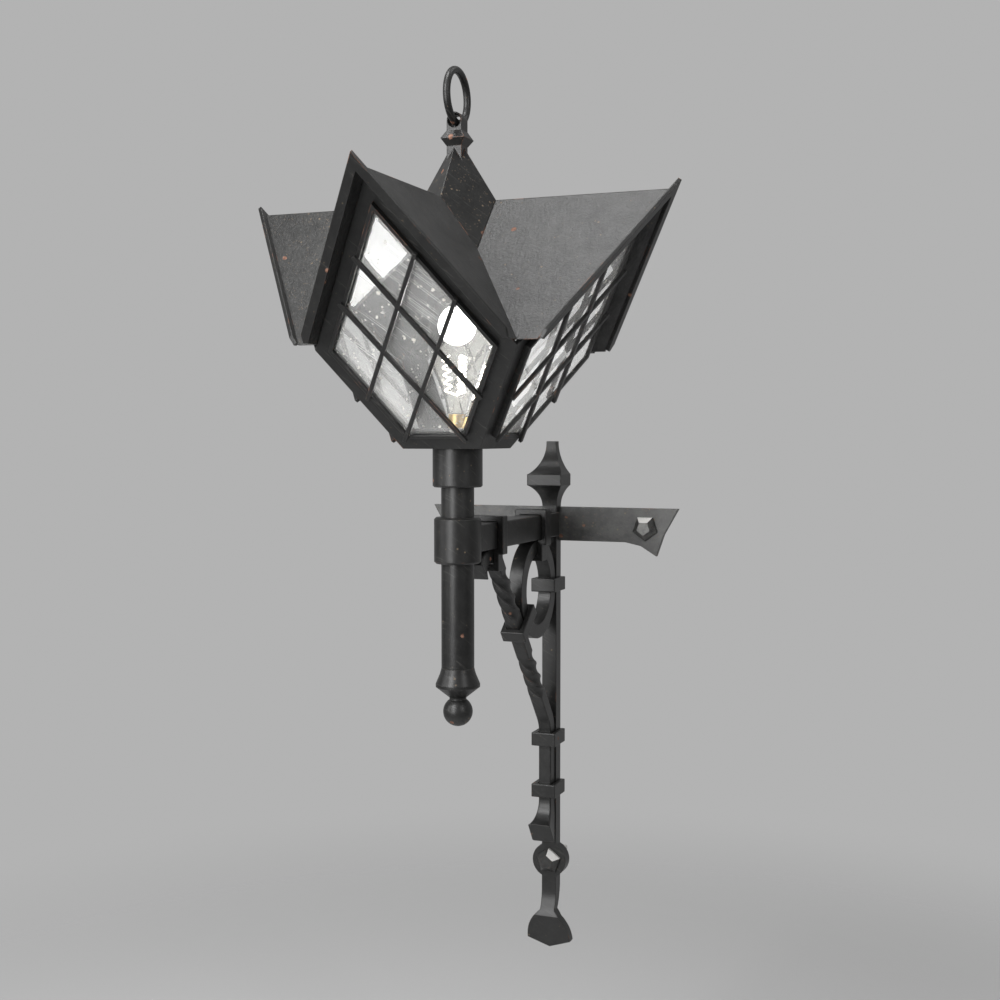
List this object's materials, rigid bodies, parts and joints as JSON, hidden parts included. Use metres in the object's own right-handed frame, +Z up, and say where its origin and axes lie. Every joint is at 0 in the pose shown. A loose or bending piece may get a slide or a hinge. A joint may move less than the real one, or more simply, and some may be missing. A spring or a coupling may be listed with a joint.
{
  "type": "outdoor wall light",
  "caption": "Outdoor wall light: leaning-sided glazed lantern with a cross-gabled roof on a post, carried by a forged bracket with a hoop, a twisted brace and a wall strap.",
  "frame": {"origin": "middle of the wall strap's back face, in the plane of the wall", "axes": "+Y into the wall, so the lantern stands out towards -Y; +Z up; +X to the right of someone facing the wall"},
  "size_m": [0.4634, 0.5762, 0.997],
  "materials": {
    "iron": "satin",
    "pane_glass": "gloss",
    "lamp_glass": "gloss",
    "brass": "satin",
    "holder": "satin",
    "filament": "satin"
  },
  "bodies": {
    "fixture": {"roof": "iron", "spire": "iron", "eye": "iron", "floor_plate": "iron", "upper_collar": "iron", "post_tube": "iron", "middle_collar": "iron", "post_end": "iron", "wall_strap": "iron", "wall_bar": "iron", "beam": "iron", "hoop": "iron", "brace_clip": "iron", "hoop_clip": "iron", "hoop_collar": "iron", "low_collar_a": "iron", "low_collar_b": "iron", "brace": "iron", "brace_clamp": "iron", "bolt_right": "iron", "bolt_left": "iron", "bolt_low": "iron", "frame_front": "iron", "frame_right": "iron", "frame_back": "iron", "frame_left": "iron", "rim_front": "iron", "rim_right": "iron", "rim_back": "iron", "rim_left": "iron", "lattice_front": "iron", "lattice_right": "iron", "lattice_back": "iron", "lattice_left": "iron", "fascia_front": "iron", "fascia_right": "iron", "fascia_back": "iron", "fascia_left": "iron", "pane_front": "pane_glass", "pane_right": "pane_glass", "pane_back": "pane_glass", "pane_left": "pane_glass", "bulb_glass": "lamp_glass", "bulb_stem": "lamp_glass", "bulb_cap": "brass", "lamp_holder": "holder", "filament": "filament"},
    "hanging_ring": {"ring": "iron"}
  },
  "joints": [
    {"name": "ring_swing", "type": "hinge", "parent": "fixture", "child": "hanging_ring", "pos_m": [0, -0.2965, 0.4208], "axis": [0, 1, 0], "range_deg": [-140, 140]}
  ]
}
